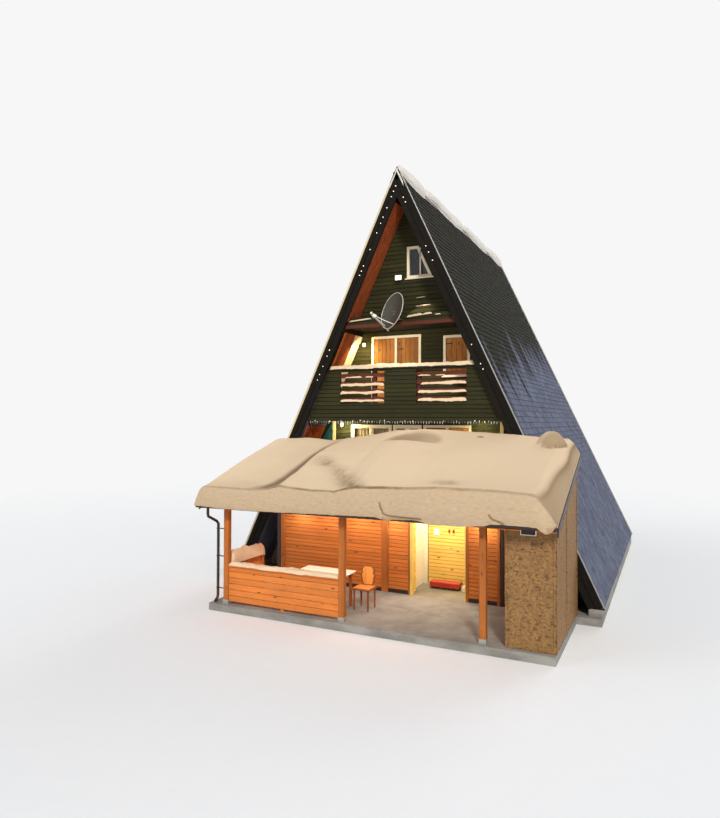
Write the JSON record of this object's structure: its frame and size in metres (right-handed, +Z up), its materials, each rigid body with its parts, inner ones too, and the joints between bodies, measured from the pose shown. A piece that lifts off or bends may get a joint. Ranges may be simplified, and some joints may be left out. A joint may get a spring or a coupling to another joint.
{
  "type": "a-frame cabin",
  "caption": "Steep timber A-frame cabin with a balcony in the gable, a lean-to porch with an entrance recess, a dish on the gable beam and deep snow on the porch roof.",
  "frame": {"origin": "on the ground, on the centre line of the house, under the front edge of the steep roof", "axes": "+Z up, +Y from the front gable to the rear along the ridge, +X to the right seen from the front"},
  "size_m": [9.1842, 12.86, 10.5256],
  "materials": {
    "concrete": "rough concrete",
    "roof_sheet": "dark matt roof sheet",
    "dark_boards": "dark stained boards",
    "barge_boards": "near black stained boards",
    "floor_boards": "sawn boards",
    "frame_paint": "cream gloss paint",
    "window_glass": "clear",
    "shutter_wood": "oiled boards",
    "red_slats": "red brown stain",
    "dish_paint": "grey satin",
    "bracket_steel": "galvanised",
    "lamp_white": "opal",
    "porch_pine": "varnished pine",
    "pale_pine": "pale varnished pine",
    "porch_deck": "sawn boards",
    "brown_metal": "dark brown",
    "door_white": "white paint",
    "strand_board": "pressed strand board",
    "snow": "packed snow",
    "table_white": "white painted boards",
    "chair_wood": "dark varnished wood"
  },
  "bodies": {
    "house": {"house_slab": "concrete", "foot_strips": "concrete", "porch_floor": "concrete", "main_floor": "floor_boards", "upper_floor": "floor_boards", "loft_floor": "dark_boards", "roof_left": "roof_sheet", "roof_right": "roof_sheet", "ridge_cap": "roof_sheet", "front_barge": "barge_boards", "rear_barge": "barge_boards", "lower_front_wall": "concrete", "lower_rear_wall": "concrete", "main_front_wall": "dark_boards", "main_rear_wall": "dark_boards", "upper_front_wall": "dark_boards", "upper_rear_wall": "dark_boards", "front_gable_wall": "dark_boards", "rear_gable_wall": "dark_boards", "balcony_parapet": "dark_boards", "balcony_slats": "red_slats", "balcony_cap": "dark_boards", "front_window_frames": "frame_paint", "front_window_glass": "window_glass", "front_shutters": "shutter_wood", "rear_window_frames": "frame_paint", "rear_window_glass": "window_glass", "satellite_dish": "dish_paint", "dish_bracket": "bracket_steel", "lamps": "lamp_white", "porch_posts": "porch_pine", "eave_beam": "porch_pine", "porch_rafters": "porch_pine", "porch_roof": "porch_deck", "porch_fascia": "brown_metal", "porch_verges": "brown_metal", "gutter": "brown_metal", "downpipe": "brown_metal", "porch_wall_left": "porch_pine", "porch_wall_right": "porch_pine", "porch_wall_head": "porch_pine", "recess_left_wall": "pale_pine", "recess_right_wall": "pale_pine", "recess_ceiling": "pale_pine", "recess_back_boards": "pale_pine", "door_head": "pale_pine", "door_frame": "door_white", "hall_roof": "porch_deck", "front_weather_panel": "strand_board", "side_weather_panel": "strand_board", "balustrade": "porch_pine", "porch_snow": "snow", "rail_snow": "snow", "balcony_snow": "snow", "ridge_snow": "snow", "porch_table": "table_white", "porch_chair": "chair_wood"},
    "door": {"entrance_door": "door_white"}
  },
  "joints": [
    {"name": "entrance_door_hinge", "type": "hinge", "parent": "house", "child": "door", "pos_m": [0.271, 0.987, 1.15], "axis": [0, 0, -1], "range_deg": [0, 90]}
  ]
}
